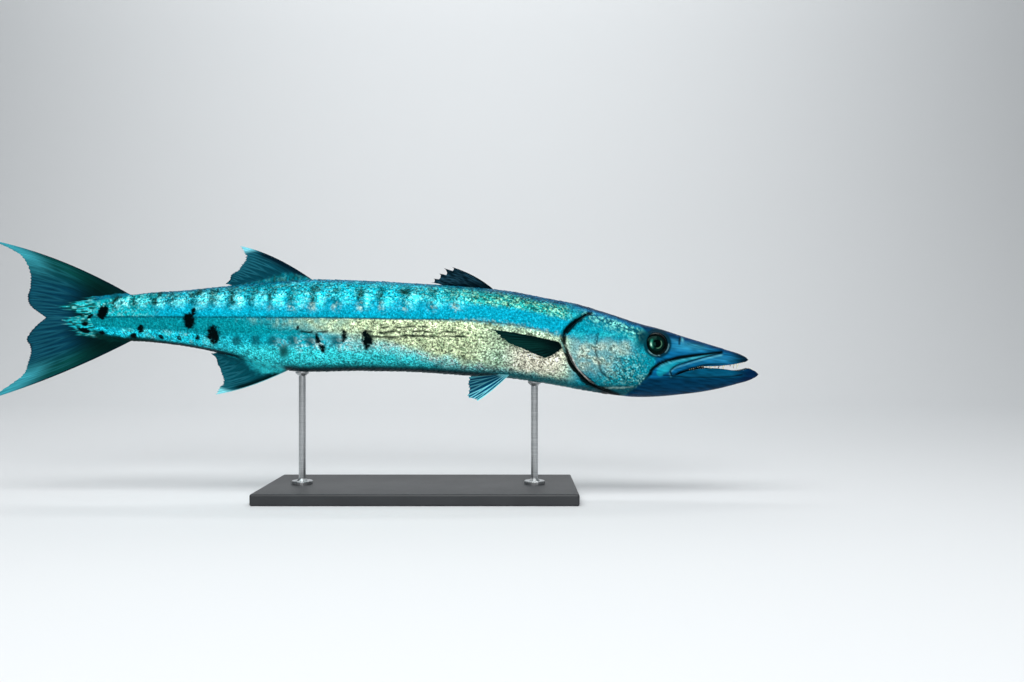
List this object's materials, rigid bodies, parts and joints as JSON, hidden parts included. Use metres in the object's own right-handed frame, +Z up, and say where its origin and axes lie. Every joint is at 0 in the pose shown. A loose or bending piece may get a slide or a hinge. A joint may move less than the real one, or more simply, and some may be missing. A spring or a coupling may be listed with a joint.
{
  "type": "barracuda museum model",
  "caption": "Long slender predatory fish with pointed open jaws, two small back fins and a forked tail, held level on a flat base by short rods.",
  "frame": {"origin": "on the floor under the middle of the whole model: bottom centre of its box", "axes": "+X towards the fish's snout, -Y towards its right side, +Z up"},
  "size_m": [1.104, 0.2, 0.3651],
  "materials": {
    "skin": "silvery scaled skin, satin sheen",
    "dark_fin": "blackish fin membrane, satin",
    "pale_fin": "pale fin membrane with a dark rear, satin",
    "eye": "clear gloss over a dark iris",
    "teeth": "ivory, polished",
    "stand_base": "fine black satin powder coat on aluminium",
    "stand_rod": "brushed stainless"
  },
  "bodies": {
    "root": {"head": "skin", "lower_jaw": "skin", "gill_cover_right": "skin", "gill_cover_left": "skin", "maxilla_right": "skin", "maxilla_left": "skin", "eye_right": "eye", "eye_left": "eye", "trunk_front": "skin", "trunk_rear": "skin", "tail_stalk": "skin", "first_dorsal_fin": "dark_fin", "second_dorsal_fin": "dark_fin", "anal_fin": "dark_fin", "caudal_upper_lobe": "dark_fin", "caudal_lower_lobe": "dark_fin", "pectoral_fin_right": "dark_fin", "pectoral_fin_left": "dark_fin", "pelvic_fin_right": "pale_fin", "pelvic_fin_left": "pale_fin", "stand_base": "stand_base", "stand_rod_front": "stand_rod", "stand_rod_rear": "stand_rod"}
  },
  "joints": []
}
